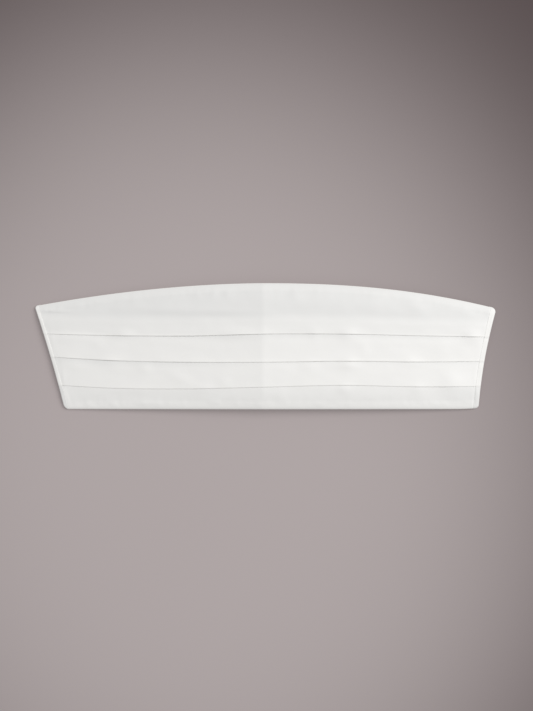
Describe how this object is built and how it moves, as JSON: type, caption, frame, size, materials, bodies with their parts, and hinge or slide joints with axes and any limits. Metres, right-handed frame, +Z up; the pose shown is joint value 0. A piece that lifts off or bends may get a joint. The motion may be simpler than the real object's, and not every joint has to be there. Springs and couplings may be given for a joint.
{
  "type": "pleated cummerbund",
  "caption": "Pleated cloth waist sash with an arched top edge and slanted ends, fastened behind by a strap and lying face up.",
  "frame": {"origin": "centre of the bottom of the bounding box, on the surface that the sash lies on", "axes": "+X along the sash, +Y from its straight edge towards its arched edge, +Z up, out of the pleated face"},
  "size_m": [0.46, 0.125, 0.0216],
  "materials": {
    "face_cloth": "smooth white dress cloth with a faint sheen",
    "back_cloth": "plain matt lining",
    "strap_cloth": "plain woven strap",
    "clasp_plastic": "plain, white"
  },
  "bodies": {
    "root": {"pleated_front": "face_cloth", "back_panel": "back_cloth", "end_binding_left": "face_cloth", "end_binding_right": "face_cloth", "strap_left": "strap_cloth", "strap_right": "strap_cloth", "clasp": "clasp_plastic"}
  },
  "joints": []
}
